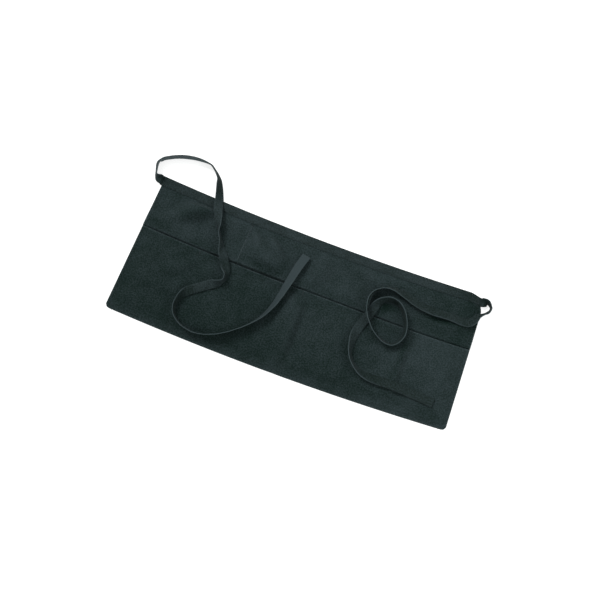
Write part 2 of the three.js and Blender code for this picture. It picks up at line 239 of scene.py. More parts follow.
# %% Folds of the panel, and the roll over the pocket mouth
# A fold is an oval: its middle, its reach along and to both sides, its height, and its turn in degrees
Fold = namedtuple("Fold", "s t along above below height turn")
FOLDS = table(
    Fold,
    (-0.228, 0.089, 0.062, 0.026, 0.0240, 0.0140, 34),
    (-0.082, 0.062, 0.054, 0.040, 0.0270, 0.0140, -14),
    (-0.108, 0.084, 0.026, 0.009, 0.0080, 0.0052, -55),
    (-0.070, 0.083, 0.032, 0.010, 0.0090, 0.0062, -42),
    (0.016, 0.070, 0.036, 0.024, 0.0240, 0.0080, 82),
    (0.262, 0.056, 0.034, 0.020, 0.0180, 0.0060, 8),
    (0.120, 0.088, 0.060, 0.014, 0.0140, 0.0026, -12),
    (-0.255, -0.055, 0.045, 0.014, 0.0140, 0.0028, -2),
    (-0.215, -0.010, 0.050, 0.018, 0.0180, 0.0030, 40),
    (0.004, -0.045, 0.090, 0.042, 0.0150, 0.0110, 90),
    (0.196, -0.040, 0.085, 0.036, 0.0130, 0.0095, 90),
)
Roll = namedtuple("Roll", "s height")
ROLLS = table(
    Roll,
    (-0.305, 0.0022), (-0.270, 0.0048), (-0.225, 0.0052), (-0.205, 0.0040), (-0.180, 0.0056),
    (-0.145, 0.0072), (-0.120, 0.0088), (-0.080, 0.0094), (-0.035, 0.0084), (-0.005, 0.0058),
    (0.030, 0.0040), (0.110, 0.0040), (0.140, 0.0056), (0.175, 0.0028), (0.205, 0.0030),
    (0.250, 0.0038), (0.305, 0.0032),
)
ROLL_BLUR = (-0.008, -0.004, 0, 0.004, 0.008)
ROLL_START = 0.0004
ROLL_CREST = 0.0032
ROLL_REACH = 0.052
print("folds:", len(FOLDS), "and places along the roll:", len(ROLLS))

# %% Heights of the panel
SLOT_LINE = -0.125
SLOT_FOOT = 0.038
SLOT_HEAD = 0.104
SLOT_FADE = 0.003
SLOT_RIDGE = 0.0014
SLOT_HALF = 0.0012
SEWN_IN = 0.0016
HEM_STITCH = HEM - SEWN_IN
MOUTH_FLAT = 0.002  # no ripples nearer to the mouth
MOUTH_LOOSE = 0.024
PANEL_SEED = 11


def soft_spot(spot, s, t):
    """An oval on the flat cloth, from 1 at its middle to 0 at its rim."""
    turn = math.radians(spot.turn)
    ds = s - spot.s
    dt = t - spot.t
    along = (ds * math.cos(turn) + dt * math.sin(turn)) / spot.along
    aside = dt * math.cos(turn) - ds * math.sin(turn)
    across = aside / np.where(aside > 0, spot.above, spot.below)
    return np.maximum(0, 1 - along**2 - across**2) ** 2


def mouth_line(s):
    return BOTTOM + POCKET_HEIGHT - MOUTH_FALL * smooth(s, 0, HALF_WIDTH)


def mouth_roll(s, t):
    """The panel's cloth rolls over just above the pocket mouth, higher at some places than at others."""
    places = [roll.s for roll in ROLLS]
    heights = [roll.height for roll in ROLLS]
    height = np.mean([np.interp(s + shift, places, heights) for shift in ROLL_BLUR], axis=0)
    above = t - mouth_line(s)
    return height * smooth(above, ROLL_START, ROLL_CREST) * (1 - smooth(above, ROLL_CREST, ROLL_REACH))


def panel_under(s, t):
    folds = sum(fold.height * soft_spot(fold, s, t) for fold in FOLDS) + mouth_roll(s, t)
    loose = off_rim(s, t) * smooth(np.abs(t - mouth_line(s)), MOUTH_FLAT, MOUTH_LOOSE)
    lying = folds + lying_ripple(s, t, PANEL_SEED) * loose
    return lerp(lying, BAND_LIFT, smooth(t, BAND_FOOT - BAND_RAMP, BAND_FOOT))


def slot_share(t):
    foot = smooth(t, SLOT_FOOT - SLOT_FADE, SLOT_FOOT)
    return foot * (1 - smooth(t, SLOT_HEAD, SLOT_HEAD + SLOT_FADE))


def hem_share(s, t):
    side = 1 - smooth(HALF_WIDTH - np.abs(s), HEM, HEM + HEM_SLOPE)
    below_band = 1 - smooth(t, BAND_FOOT - BAND_RAMP, BAND_FOOT - HEM_STEP)
    bottom = 1 - smooth(t - BOTTOM, HEM, HEM + HEM_SLOPE)
    return np.maximum(side * below_band, bottom)


def panel_top(s, t):
    from_side = HALF_WIDTH - np.abs(s) - HEM_STITCH
    hem_pull = seam_pull(from_side, t, PANEL_SEED + 2) * (1 - smooth(t, BAND_FOOT - BAND_RAMP, BAND_FOOT))
    ridge = SLOT_RIDGE * np.exp(-(((s - SLOT_LINE) / SLOT_HALF) ** 2)) * slot_share(t)
    return panel_under(s, t) + CLOTH * (1 + hem_share(s, t)) + hem_pull + ridge


main_fold = panel_top(np.array(FOLDS[1].s), np.array(FOLDS[1].t))
print("panel's height on its main fold, mm:", round(1000 * float(main_fold), 2))

# %% Heights of the pocket panel
SEAM_HALF = 0.003
SEAM_EASE = 0.7  # share of a groove's depth by which the pocket cloth is lifted
SLACK_START = 0.004
SLACK_FULL = 0.040
BELLY_FADE = 0.026
BELLY_FLATNESS = 2
GAPE_DEPTH = 0.100
GAPE_FLATNESS = 2
GAPE_FALL = 1.5
Pocket = namedtuple("Pocket", "start end gape belly")
POCKETS = table(
    Pocket,
    (-HALF_WIDTH + HEM, -0.192, 0.0007, 0.0012),
    (-0.192, 0.002, 0.0010, 0.0014),
    (0.002, 0.192, 0.0008, 0.0012),
    (0.192, HALF_WIDTH - HEM, 0.0007, 0.0010),
)
DIVIDERS = tuple(pocket.start for pocket in POCKETS[1:])
MOUTH_SEWN_IN = 0.0018
MOUTH_STITCH = MOUTH_HEM - MOUTH_SEWN_IN
POCKET_SEED = 31


def below_mouth(s, t):
    return smooth(mouth_line(s) - t, SLACK_START, SLACK_FULL)


def stand_off(s, t):
    total = 0
    for pocket in POCKETS:
        middle = (pocket.start + pocket.end) / 2
        half = (pocket.end - pocket.start) / 2 - SEAM_HALF
        q = np.clip(np.abs(s - middle) / half, 0, 1)
        depth = np.clip((mouth_line(s) - t) / GAPE_DEPTH, 0, 1)
        gape = pocket.gape * (1 - q**GAPE_FLATNESS) * (1 - depth) ** GAPE_FALL
        fade = smooth(t - BOTTOM, HEM, HEM + BELLY_FADE) * below_mouth(s, t)
        total = total + gape + pocket.belly * (1 - q**BELLY_FLATNESS) * fade
    return total


def pocket_seams(s, t):
    pull = seam_pull(t - BOTTOM - HEM_STITCH, s, POCKET_SEED)
    pull = pull + seam_pull(HALF_WIDTH - np.abs(s) - HEM_STITCH, t, POCKET_SEED + 1)
    pull = pull + seam_pull(mouth_line(s) - t - MOUTH_STITCH, s, POCKET_SEED + 2)
    for k, place in enumerate(DIVIDERS):
        pull = pull + seam_pull(s - place, t, POCKET_SEED + 3 + k)
    return pull


def pocket_top(s, t):
    hem_foot = mouth_line(s) - MOUTH_HEM
    hem = smooth(t, hem_foot - HEM_SLOPE, hem_foot)
    slack = lying_ripple(s, t, POCKET_SEED + 7) * off_rim(s, t) * below_mouth(s, t)
    pull = pocket_seams(s, t) + SEAM_EASE * GROOVE_DEPTH
    return panel_top(s, t) + GAP + stand_off(s, t) + slack + CLOTH * (1 + hem) + np.maximum(pull, 0)


def surface_under(x, y):
    """Height of what a tie lies on: the table, the panel, the pocket panel or the waist tape."""
    s, t = flattened(x, y)
    on_cloth = (np.abs(s) <= HALF_WIDTH) & (t >= BOTTOM) & (t <= TOP)
    on_band = (np.abs(s) <= BAND_END) & (t >= BAND_FOOT) & (t <= TOP + FOLD_ROOM + BAND_WALL)
    cloth = np.where(t <= mouth_line(s), pocket_top(s, t), panel_top(s, t))
    return np.where(on_band, BAND_TOP, np.where(on_cloth, cloth, 0))


pocket_middle = (POCKETS[1].start + POCKETS[1].end) / 2
lip = pocket_top(np.array(pocket_middle), mouth_line(np.array(pocket_middle)))
print("pocket mouth's height, mm:", round(1000 * float(lip), 2))

# %% [markdown]
# ## Ties
# A tie is a free length of flat tape, so it is made as a cord is: its route first, and the tape laid along
# it. The route is a list of given places, each with how far the tape leans from lying flat, because
# a flat tape turns on edge to go round a bend. A curve with a bevel would roll as it liked, so the tape is a
# long grid whose rows are set across the route. It starts tucked inside the end of the waist tape, rests on
# whatever lies under it, and bridges small steps.

# %% Routes of the ties: place, lean from flat in degrees, and extra height
Stop = namedtuple("Stop", "x y lean lift", defaults=(0,))
LEFT_ROUTE = table(
    Stop,
    (-0.3130, 0.1240, 114, 0.0008),
    (-0.3165, 0.132, 107),
    (-0.3195, 0.148, 117),
    (-0.316, 0.1545, 127),
    (-0.309, 0.161, 130),
    (-0.287, 0.172, 131),
    (-0.261, 0.178, 127),
    (-0.236, 0.178, 113),
    (-0.225, 0.174, 104),
    (-0.2095, 0.160, 111),
    (-0.204, 0.149, 128),
    (-0.195, 0.125, 154),
    (-0.191, 0.110, 176),
    (-0.184, 0.092, 208),
    (-0.177, 0.078, 243),
    (-0.171, 0.066, 278),
    (-0.164, 0.054, 285),
    (-0.156, 0.040, 314),
    (-0.146, 0.023, 352),
    (-0.137, 0.009, 332),
    (-0.132, -0.002, 294),
    (-0.134, -0.013, 280),
    (-0.143, -0.021, 312),
    (-0.155, -0.027, 346),
    (-0.182, -0.047, 344),
    (-0.191, -0.059, 314),
    (-0.196, -0.072, 290),
    (-0.196, -0.085, 282),
    (-0.189, -0.098, 280),
    (-0.174, -0.109, 280),
    (-0.154, -0.1135, 280),
    (-0.131, -0.111, 280),
    (-0.107, -0.1015, 280),
    (-0.085, -0.0865, 281),
    (-0.065, -0.068, 284),
    (-0.050, -0.049, 290),
    (-0.040, -0.028, 301),
    (-0.033, -0.004, 313, 0.0004),
    (-0.0215, 0.056, 343),
    (-0.0155, 0.0825, 350),
)
RIGHT_ROUTE = table(
    Stop,
    (0.305, 0.1145, 66, 0.0008),
    (0.3115, 0.111, 86),
    (0.314, 0.105, 82),
    (0.311, 0.0975, 71),
    (0.3045, 0.0920, 70),
    (0.2975, 0.0855, 48),
    (0.2935, 0.0770, 32),
    (0.2865, 0.0700, 20),
    (0.274, 0.0670, 22, 0.002),
    (0.252, 0.0675, 26, 0.0035),
    (0.221, 0.0660, 26, 0.0035),
    (0.193, 0.0695, 26, 0.0035),
    (0.168, 0.0765, 34, 0.002),
    (0.149, 0.079, 60),
    (0.131, 0.076, 74),
    (0.118, 0.066, 84),
    (0.112, 0.050, 96, 0.0028),
    (0.114, 0.031, 95, 0.0046),
    (0.123, 0.013, 94, 0.0040),
    (0.138, -0.003, 98, 0.0016),
    (0.156, -0.013, 107),
    (0.173, -0.015, 111),
    (0.184, -0.006, 112),
    (0.189, 0.009, 110),
    (0.186, 0.027, 108),
    (0.177, 0.045, 106),
    (0.164, 0.057, 105),
    (0.149, 0.060, 106),
    (0.136, 0.054, 116),
    (0.128, 0.043, 144, 0.0003),
    (0.123, 0.029, 176, 0.0003),
    (0.118, 0.012, 180, 0.0003),
    (0.113, -0.004, 172),
    (0.110, -0.021, 148),
    (0.111, -0.039, 122),
    (0.116, -0.056, 112),
    (0.128, -0.070, 118),
    (0.146, -0.079, 138),
    (0.166, -0.081, 160),
    (0.190, -0.080, 174, 0.0006),
    (0.217, -0.080, 176, 0.001),
    (0.246, -0.081, 176, 0.001),
    (0.275, -0.083, 178, 0.001),
)
print("stops on the routes:", len(LEFT_ROUTE), len(RIGHT_ROUTE))

# %% A smooth line through the stops, resting on what is under it
STEPS_PER_STOP = 12
BRIDGE_STEPS = 5
TAPE_TUCK = 0.0035
ACROSS_TAPE = np.linspace(-1, 1, 5)


def through_stops(rows):
    """A curve through each row in turn, with STEPS_PER_STOP steps from one row to the next."""
    rows = np.array(rows, float)
    ends = np.vstack([2 * rows[0] - rows[1], rows, 2 * rows[-1] - rows[-2]])
    line = []
    for k in range(len(rows) - 1):
        a, b, c, d = ends[k : k + 4]
        for step in range(STEPS_PER_STOP):
            u = step / STEPS_PER_STOP
            bend = (2 * a - 5 * b + 4 * c - d) * u**2 + (3 * b - a - 3 * c + d) * u**3
            line.append(b + 0.5 * ((c - a) * u + bend))
    return np.vstack([line, rows[-1]])


def headings(line):
    ahead = np.gradient(line, axis=0)
    return ahead / np.linalg.norm(ahead, axis=1)[:, None]


def window(values, reach, pick):
    return np.array([pick(values[max(0, k - reach) : k + reach + 1]) for k in range(len(values))])


def tie_line(side, start_lean, route):
    """Points down the middle of a tie, and the lean of the tape at each of them."""
    x, y = laid(side * (BAND_END + GAP), TOP - BAND / 2)
    start_lift = BAND_TOP / 2 - TAPE_THICK / 2 - GAP
    line = through_stops([Stop(float(x), float(y), start_lean, start_lift), *route])
    lean = np.radians(line[:, 2])
    lift = np.maximum(line[:, 3], 0)
    ahead = headings(line[:, :2])
    flat = np.cos(lean) * TAPE_WIDTH / 2
    upright = np.sin(lean) * TAPE_WIDTH / 2
    needs = []
    for share in ACROSS_TAPE:
        beside_x = line[:, 0] - ahead[:, 1] * flat * share
        beside_y = line[:, 1] + ahead[:, 0] * flat * share
        needs.append(surface_under(beside_x, beside_y) - upright * share)
    clear = np.max(needs, axis=0) + TAPE_THICK / 2 * np.abs(np.cos(lean)) + GAP
    resting = window(window(clear, BRIDGE_STEPS, np.max), BRIDGE_STEPS, np.mean) + lift
    tuck = laid(side * (BAND_END - TAPE_TUCK), TOP - BAND / 2)
    first = [*tuck, BAND_TOP / 2]
    middle = np.vstack([first, np.column_stack([line[:, :2], resting])])
    return middle, np.concatenate([lean[:1], lean])


left_middle, left_lean = tie_line(side=-1, start_lean=180, route=LEFT_ROUTE)
right_middle, right_lean = tie_line(side=1, start_lean=0, route=RIGHT_ROUTE)


def run_length(line):
    return float(np.linalg.norm(np.diff(line, axis=0), axis=1).sum())


print("lengths of the ties, m:", round(run_length(left_middle), 4), round(run_length(right_middle), 4))

# %% A grid laid over places, and the wall of cloth that it becomes
def cloth_grid(name, places, flat_u, flat_v):
    """A new grid object whose points are moved to places[row, column], with the flat cloth as its UV map."""
    rows, columns = places.shape[:2]
    bpy.ops.object.select_all(action="DESELECT")
    bpy.ops.mesh.primitive_grid_add(x_subdivisions=columns - 1, y_subdivisions=rows - 1, size=1)
    sheet = bpy.context.object
    sheet.name = name
    sheet.data.name = name
    count = len(sheet.data.vertices)
    start = np.empty(count * 3)
    sheet.data.vertices.foreach_get("co", start)
    start = start.reshape(-1, 3) + 0.5
    column = np.rint(start[:, 0] * (columns - 1)).astype(int)
    row = np.rint(start[:, 1] * (rows - 1)).astype(int)
    sheet.data.vertices.foreach_set("co", places[row, column].ravel())
    corner = np.empty(len(sheet.data.loops), int)
    sheet.data.loops.foreach_get("vertex_index", corner)
    flat = np.stack([flat_u[row, column], flat_v[row, column]], axis=1)
    uv_map = sheet.data.uv_layers.active
    uv_map.name = "cloth"
    uv_map.data.foreach_set("uv", flat[corner].ravel())
    sheet.data.update()
    return sheet, row, column


RIM_ANGLE = math.radians(65)


def thicken(sheet, wall, edge_round, offset, thin=()):
    """Gives the grid a wall with rounded edges. thin lists the points where it is half as thick."""
    solid = sheet.modifiers.new("wall", "SOLIDIFY")
    solid.thickness = wall
    solid.offset = offset
    if len(thin):
        group = sheet.vertex_groups.new(name="wall")
        group.add(list(range(len(sheet.data.vertices))), 1.0, "REPLACE")
        group.add([int(k) for k in thin], 0.5, "REPLACE")
        solid.vertex_group = group.name
    edges = sheet.modifiers.new("soft edges", "BEVEL")
    edges.limit_method = "ANGLE"
    edges.angle_limit = RIM_ANGLE
    edges.width = edge_round
    edges.segments = 2
    bpy.context.view_layer.objects.active = sheet
    for modifier in ("wall", "soft edges"):
        bpy.ops.object.modifier_apply(modifier=modifier)
    bpy.ops.object.shade_smooth()
    return sheet


def triangle_count(piece):
    piece.data.calc_loop_triangles()
    return len(piece.data.loop_triangles)


print("helpers ready")

# %% [markdown]
# ## Wear, tone, and painted light and shade
# Used cloth is not one tone: folded hems are rubbed pale, and its tone varies. Light and shade are painted
# in
# as well: pale lines on edges that catch the light, darker ovals for shaded folds and the shadows of the
# ties, paler ovals for lit slopes, and light falling off across the cloth. Such marks could be painted on an
# image, but a number kept at each point of the mesh needs no image: the finishes read it later. Short tables
# say how pale the cloth is along its length, and where it has paler or darker ovals.

# %% Pale edges, tone, and painted shade and light
WEAR_AND_HIGHLIGHT_REACH = 0.0022


def set_wear_and_highlight(sheet, wear_and_highlight):
    """How pale each point is near an edge, for the finish to read: rubbed hems, and painted highlights on
    edges that catch the light.
    """
    layer = sheet.data.attributes.new("wear_and_highlight", "FLOAT", "POINT")
    layer.data.foreach_set("value", wear_and_highlight.astype(np.float32))


def edge_wear_and_highlight(*distances):
    nearest = np.min(np.stack(np.broadcast_arrays(*distances)), axis=0)
    return 1 - smooth(nearest, 0, WEAR_AND_HIGHLIGHT_REACH)


Fade = namedtuple("Fade", "place tone")


def tone_along(tone_stops, place):
    return np.interp(place, [fade.place for fade in tone_stops], [fade.tone for fade in tone_stops])


Shade = namedtuple("Shade", "s t along above below tone turn")


def shaded(shades, s, t):
    return sum(shade.tone * soft_spot(shade, s, t) for shade in shades)


def set_tone_and_painted_shade(sheet, fade):
    """How much paler than its finish the cloth is at each point: its tone, with painted shade and painted
    light. Less than 0 is darker.
    """
    layer = sheet.data.attributes.new("fade", "FLOAT", "POINT")
    layer.data.foreach_set("value", fade.astype(np.float32))


print("edges pale over", 1000 * WEAR_AND_HIGHLIGHT_REACH, "mm")

# %% [markdown]
# ## Tape of the ties
# Tape that has been knotted is never smooth: it cups a little, crinkles, and keeps sharp creases and small
# pleats. A bump in its finish would leave its edges straight, so the points of the grid are moved, and short
# tables say where. A pale line is painted only on edges that stand up: a painted highlight where they catch
# the light.

# %% Tone with painted shade and light, creases and pleats of the ties
# A tone stop is placed by metres from the start of a tie, and a crease by its stop on the route. Below 0 is
# painted shade, where the tape is tucked into the waist tape and where its face turns from the light; above
# 0 is painted light, where its face turns to the light; the rest is plain tone
LEFT_TONE_AND_SHADE = table(
    Fade,
    (0, -0.40), (0.03, 0.30), (0.12, 0.30), (0.155, -0.35), (0.190, -0.30),
    (0.215, 0.0), (0.315, 0.0), (0.332, -0.30), (0.352, -0.30), (0.366, 0.10),
    (0.405, 0.05), (0.425, -0.30), (0.465, -0.30), (0.490, 0.0), (0.60, 0.0),
    (0.70, 0.70), (0.78, 0.85),
)
RIGHT_TONE_AND_SHADE = table(
    Fade,
    (0, -0.40), (0.04, -0.26), (0.46, -0.26), (0.52, 0.0), (0.60, -0.06),
    (0.64, -0.28), (0.70, -0.28), (0.75, -0.20),
)
Crease = namedtuple("Crease", "stop slant depth")
LEFT_CREASES = table(
    Crease,
    (11.4, 0.5, -0.0008),
    (17.0, -0.7, -0.0008),
    (18.2, 0.5, 0.0008),
    (22.9, 0.8, -0.0013),
    (23.7, -0.6, 0.0009),
    (24.4, 0.7, -0.0012),
    (37.2, 0.4, -0.0006),
)
RIGHT_CREASES = table(
    Crease,
    (10.5, 0.5, -0.0007),
    (31.4, 0.6, -0.0010),
    (32.6, -0.5, 0.0009),
    (37.8, 0.7, -0.0011),
    (38.9, -0.6, 0.0008),
)
Pleat = namedtuple("Pleat", "start end edge")
RIGHT_PLEATS = table(Pleat, (0.190, 0.262, 1))
print("creases:", len(LEFT_CREASES), "on the left and", len(RIGHT_CREASES), "on the right")

# %% Places of a tape's points
TAPE_COLUMNS = 13
TAPE_CUP = 0.0005
CUP_SIZE = 0.06
CUP_LEVEL = 0.3
TAPE_CRINKLE = 0.00035
CRINKLE_SIZE = 0.011
CRINKLE_STRETCH = 0.35
SETTLE_START = 0.01  # no cup or crinkles nearer to the start of a tie
SETTLE_END = 0.03
PLEAT_HEIGHT = 0.0018
PLEAT_LENGTH = 0.011
PLEAT_FADE = 0.012
CREASE_HALF = 0.0032


def tape_places(middle, lean, seed, creases, pleats):
    """Points of a tape along its middle line, with a slight cup, crinkles, creases and pleats."""
    along = headings(middle)
    sideways = np.cross([0, 0, 1], along)
    sideways /= np.linalg.norm(sideways, axis=1)[:, None]
    rise = np.cross(along, sideways)
    width = np.cos(lean)[:, None] * sideways + np.sin(lean)[:, None] * rise
    face = np.cross(along, width)
    run = np.concatenate([[0], np.cumsum(np.linalg.norm(np.diff(middle, axis=0), axis=1))])
    share = np.linspace(-1, 1, TAPE_COLUMNS)
    across = share * TAPE_WIDTH / 2
    crinkle = TAPE_CRINKLE * soft_noise(run[:, None], CRINKLE_STRETCH * across[None, :], CRINKLE_SIZE, seed)
    cupped = soft_noise(run[:, None], 0 * across[None, :], CUP_SIZE, seed + 1)
    cup = TAPE_CUP * (share[None, :] ** 2 - CUP_LEVEL) * cupped
    out = (crinkle + cup) * smooth(run, SETTLE_START, SETTLE_END)[:, None]
    for crease in creases:
        place = run[round(1 + STEPS_PER_STOP * (crease.stop + 1))]
        away = run[:, None] - place - crease.slant * across[None, :]
        out = out + crease.depth * np.exp(-((away / CREASE_HALF) ** 2))
    for pleat in pleats:
        inside = smooth(run, pleat.start, pleat.start + PLEAT_FADE)
        inside = inside * (1 - smooth(run, pleat.end - PLEAT_FADE, pleat.end))
        wave = PLEAT_HEIGHT * np.sin(2 * math.pi * (run - pleat.start) / PLEAT_LENGTH)
        out = out + (inside * wave)[:, None] * (0.5 - 0.5 * pleat.edge * share)[None, :]
    beside = across[None, :, None] * width[:, None, :]
    places = middle[:, None, :] + beside + out[..., None] * face[:, None, :]
    flat_u = np.repeat(run[:, None], TAPE_COLUMNS, axis=1)
    flat_v = np.repeat(across[None, :], len(run), axis=0)
    return places, flat_u, flat_v


print("points across a tape:", TAPE_COLUMNS)

# %% The two ties
TAPE_EDGE = 0.0004
RAISED_FULL = 0.7
LEFT_SEED = 51
RIGHT_SEED = 61


def make_tie(name, node, middle, lean, seed, tone_stops, creases, pleats=()):
    places, flat_u, flat_v = tape_places(middle, lean, seed, creases, pleats)
    tie, row, column = cloth_grid(name, places, flat_u, flat_v)
    # Painted highlight: only edges that stand up get the pale line, as they catch the light
    raised = smooth(np.sin(lean)[:, None] * np.sign(flat_v), 0, RAISED_FULL)
    set_wear_and_highlight(tie, (raised * edge_wear_and_highlight(TAPE_WIDTH / 2 - np.abs(flat_v)))[row, column])
    # Tone along the tie, with painted shade and light
    set_tone_and_painted_shade(tie, tone_along(tone_stops, flat_u)[row, column])
    thicken(tie, TAPE_THICK, TAPE_EDGE, 0)
    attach(tie, "root")
    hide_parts(node)
    print(name, "has", triangle_count(tie), "triangles")
    return tie


tie_left = make_tie(
    "left_tie_tape", "tie_left", left_middle, left_lean, LEFT_SEED, LEFT_TONE_AND_SHADE, LEFT_CREASES)
tie_right = make_tie(
    "right_tie_tape", "tie_right", right_middle, right_lean, RIGHT_SEED,
    RIGHT_TONE_AND_SHADE, RIGHT_CREASES, RIGHT_PLEATS)

# %% [markdown]
# ## Panel
# The panel is the apron's back layer: a rectangle of twill with its sides and foot turned under and sewn.
# It could be a subdivided plane pushed about by hand. A grid with its own spacing is better here: lines
# close together at the hems and seams, where the shape changes fast, and further apart under the pockets,
# where nobody sees it. The wall is twice as thick in the hems, as the turned cloth is.

# %% Lines of a cloth grid
SEAM_LINES = (-0.0022, -0.0011, 0, 0.0011, 0.0022)
STEP_LINE = 0.0009
EDGE_LINE = 0.0012
ROLL_LEAD = 0.006
ROLL_FOOT = 0.001
FINE = 0.0019
FINEST = 0.0005
COARSE = 0.006


def spaced_lines(marks, step):
    """Lines at the marks, with even steps of about the given size between each two."""
    marks = sorted(marks)
    lines = [marks[0]]
    for low, high in zip(marks, marks[1:]):
        steps = max(1, round((high - low) / step))
        lines += [lerp(low, high, k / steps) for k in range(1, steps + 1)]
    return np.array(lines)


def hem_marks(edge, inward):
    """Lines from an edge of the cloth past its hem. inward is 1 or -1."""
    stitches = [edge + inward * (HEM_STITCH + line) for line in SEAM_LINES[:-1]]
    step = [edge + inward * (HEM + STEP_LINE), edge + inward * (HEM + HEM_STEP)]
    return [edge, edge + inward * EDGE_LINE, *stitches, edge + inward * HEM, *step]


side_marks = hem_marks(-HALF_WIDTH, 1) + hem_marks(HALF_WIDTH, -1)
slot_marks = [SLOT_LINE + line for line in SEAM_LINES]
panel_columns = spaced_lines(side_marks + slot_marks, FINE)
mouth = BOTTOM + POCKET_HEIGHT
roll_low = mouth - ROLL_LEAD
roll_high = mouth + 2 * ROLL_CREST
low_rows = spaced_lines([*hem_marks(BOTTOM, 1), roll_low], COARSE)
roll_rows = spaced_lines([roll_low, mouth - ROLL_FOOT, mouth + ROLL_START, roll_high], FINEST)
high_rows = spaced_lines([roll_high, BAND_FOOT - BAND_RAMP, BAND_FOOT, TOP], FINE)
panel_rows = np.concatenate([low_rows, roll_rows[1:], high_rows[1:]])
print("panel grid:", len(panel_columns), "by", len(panel_rows))

# %% Tones of the panel, with painted shade and light
# A shade is an oval as a fold is, with a tone in place of a height. Below 0 it is painted shade: the shaded
# sides of folds, above the pocket mouth, inside the right tie's ring and under its tape. Above 0 it is
# painted light on slopes that face the light
# Across the width the cloth darkens towards both sides, most at the right: painted light falling off, with
# some plain tone
PANEL_TONE_AND_LIGHT_FALL = table(
    Fade,
    (-0.300, -0.12), (-0.250, 0.04), (0.150, 0.04), (0.220, -0.14), (0.280, -0.27),
)
PANEL_SHADES = table(
    Shade,
    (-0.222, 0.083, 0.042, 0.013, 0.013, -0.28, 34),
    (-0.240, 0.102, 0.042, 0.012, 0.012, 0.16, 22),
    (-0.268, 0.043, 0.046, 0.016, 0.013, -0.22, 0),
    (-0.200, 0.036, 0.060, 0.010, 0.006, -0.16, -1),
    (-0.078, 0.040, 0.062, 0.013, 0.013, -0.30, -6),
    (-0.047, 0.054, 0.032, 0.013, 0.013, -0.25, 70),
    (-0.108, 0.080, 0.028, 0.007, 0.007, 0.22, -55),
    (-0.092, 0.082, 0.024, 0.006, 0.006, -0.14, -48),
    (-0.070, 0.080, 0.034, 0.009, 0.009, 0.22, -42),
    (0.060, 0.037, 0.064, 0.009, 0.007, -0.16, -2),
    (0.148, 0.092, 0.034, 0.012, 0.012, -0.20, 0),
    (0.149, 0.053, 0.030, 0.011, 0.014, -0.50, 0),
    (0.142, 0.043, 0.018, 0.010, 0.010, -0.30, 62),
    (0.240, 0.0585, 0.048, 0.007, 0.008, -0.38, -2),
)
print("paler or darker places on the panel:", len(PANEL_SHADES))

# %% The panel
EDGE_ROUND = 0.00045
MOUTH_NEAR = 0.012


def cloth_places(s, t, height):
    x, y = laid(s, t)
    return np.stack([x, y, height], axis=-1)


def follow_mouth(s, v, low, high):
    """Rows of the flat cloth, moved so that those near the mouth run along it."""
    fall = mouth - mouth_line(s)
    return v - fall * smooth(v, BOTTOM + HEM + HEM_STEP, low) * (1 - smooth(v, high, BAND_FOOT - BAND_RAMP))


panel_s, panel_v = np.meshgrid(panel_columns, panel_rows)
panel_t = follow_mouth(panel_s, panel_v, mouth - MOUTH_NEAR, mouth + MOUTH_NEAR)
panel, row, column = cloth_grid(
    "panel_cloth", cloth_places(panel_s, panel_t, panel_top(panel_s, panel_t)), panel_s, panel_t)
# Pale edges: rubbed side and foot hems, and a painted highlight down the slot seam, whose raised side
# catches the light
slot_highlight = (1 - smooth(np.abs(panel_s - SLOT_LINE), 0, 2 * SLOT_HALF)) * slot_share(panel_t)
panel_wear_and_highlight = np.maximum(edge_wear_and_highlight(HALF_WIDTH - np.abs(panel_s), panel_t - BOTTOM), slot_highlight)
set_wear_and_highlight(panel, panel_wear_and_highlight[row, column])
# Tone, with painted shade and light, for the finish to read
panel_tone_and_shade = tone_along(PANEL_TONE_AND_LIGHT_FALL, panel_s) + shaded(PANEL_SHADES, panel_s, panel_t)
set_tone_and_painted_shade(panel, panel_tone_and_shade[row, column])
in_hem = np.minimum(HALF_WIDTH - np.abs(panel_s), panel_t - BOTTOM)[row, column] < HEM + STEP_LINE / 2
single = np.flatnonzero(~in_hem)
thicken(panel, 2 * CLOTH, EDGE_ROUND, -1, single)
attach(panel, "root")
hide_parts("apron_panel")
print("panel has", triangle_count(panel), "triangles")

# %% [markdown]
# ## Pocket panel
# One more strip of the same twill covers the lower part. It is caught in the side and bottom hems and sewn
# through at three places, which leaves four pockets. Its upper edge is turned in and stitched, and stands a
# little open. It is made as the panel is, with its upper lines following the falling mouth.

# %% Tones of the pocket panel, with painted shade and light
# Across the width: painted light falling off, darker towards the left and lighter at the right, with some
# plain tone
POCKET_TONE_AND_LIGHT_FALL = table(
    Fade,
    (-0.300, -0.18), (-0.060, -0.18), (0.010, -0.06), (0.060, -0.10), (0.110, -0.17),
    (0.180, -0.05), (0.220, 0.06), (0.300, 0.06),
)
# Below 0 painted shade, such as the shadow below the right tie's ring and on the divider under it; above 0
# painted light
POCKET_SHADES = table(
    Shade,
    (0.196, -0.033, 0.034, 0.007, 0.006, -0.30, 85),
    (0.262, -0.110, 0.052, 0.020, 0.020, -0.18, 0),
    (-0.290, -0.070, 0.022, 0.036, 0.036, -0.18, 0),
    (-0.012, 0.004, 0.036, 0.014, 0.014, 0.18, 80),
    (0.250, 0.015, 0.050, 0.012, 0.012, 0.10, -4),
    (0.197, -0.008, 0.024, 0.010, 0.010, -0.34, 62),
    (0.142, -0.027, 0.024, 0.016, 0.014, 0.22, 0),
)
print("paler or darker places on the pocket panel:", len(POCKET_SHADES))

# %% Lines of the pocket panel's grid
LINE_ROOM = 0.0005

